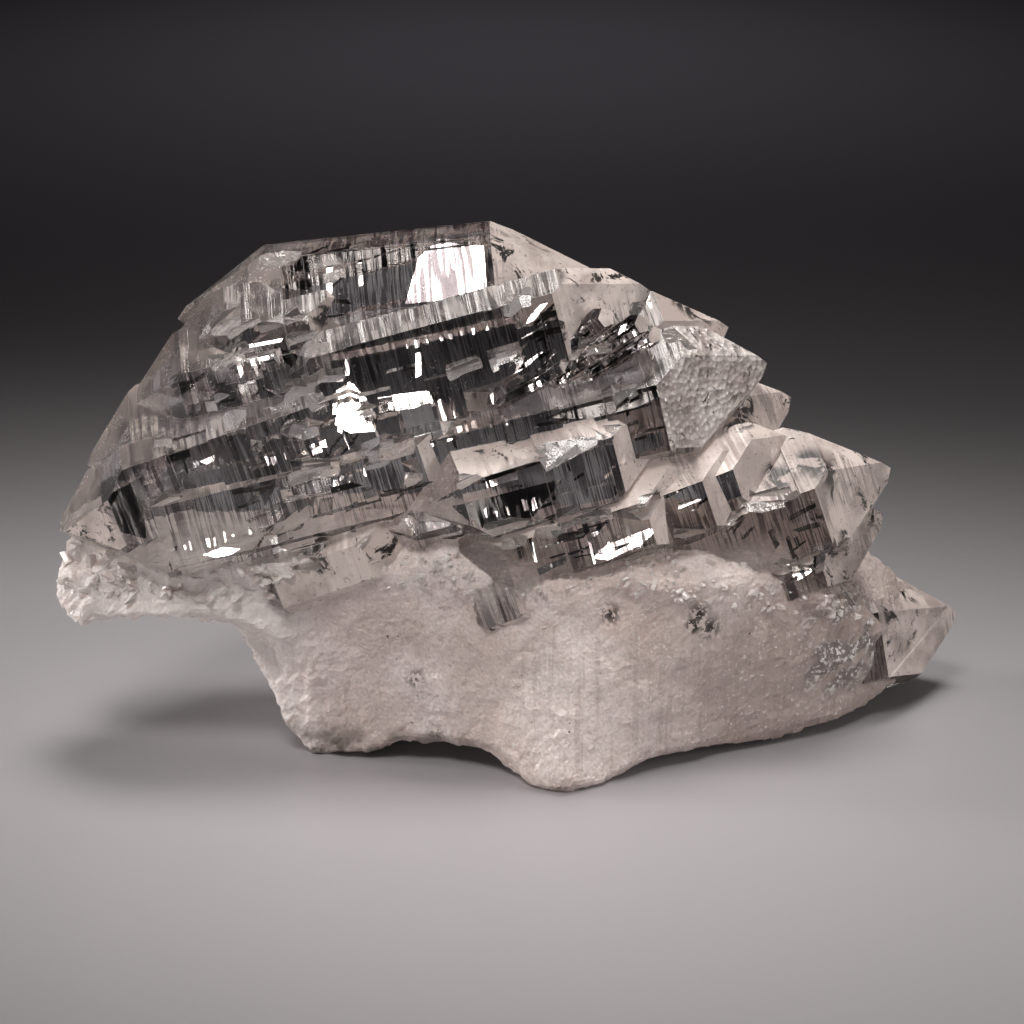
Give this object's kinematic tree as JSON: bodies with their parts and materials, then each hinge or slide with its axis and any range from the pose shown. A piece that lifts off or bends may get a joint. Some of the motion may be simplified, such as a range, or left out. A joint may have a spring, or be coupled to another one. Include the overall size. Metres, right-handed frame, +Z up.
{
  "type": "quartz crystal",
  "caption": "Free-standing clear quartz crystal cluster: stacked, slightly twisted hexagonal crystals with pointed ends on a milky, broken root that rests on flat feet.",
  "frame": {"origin": "on the resting surface, under the middle of the specimen's bounding box", "axes": "+Z up, +X along the specimen towards its pointed right ends, -Y towards the show side"},
  "size_m": [0.108, 0.0416, 0.0604],
  "materials": {
    "quartz": "clear, striated crystal faces on a milky, finely rough root"
  },
  "bodies": {
    "root": {"quartz_crystal": "quartz"}
  },
  "joints": []
}
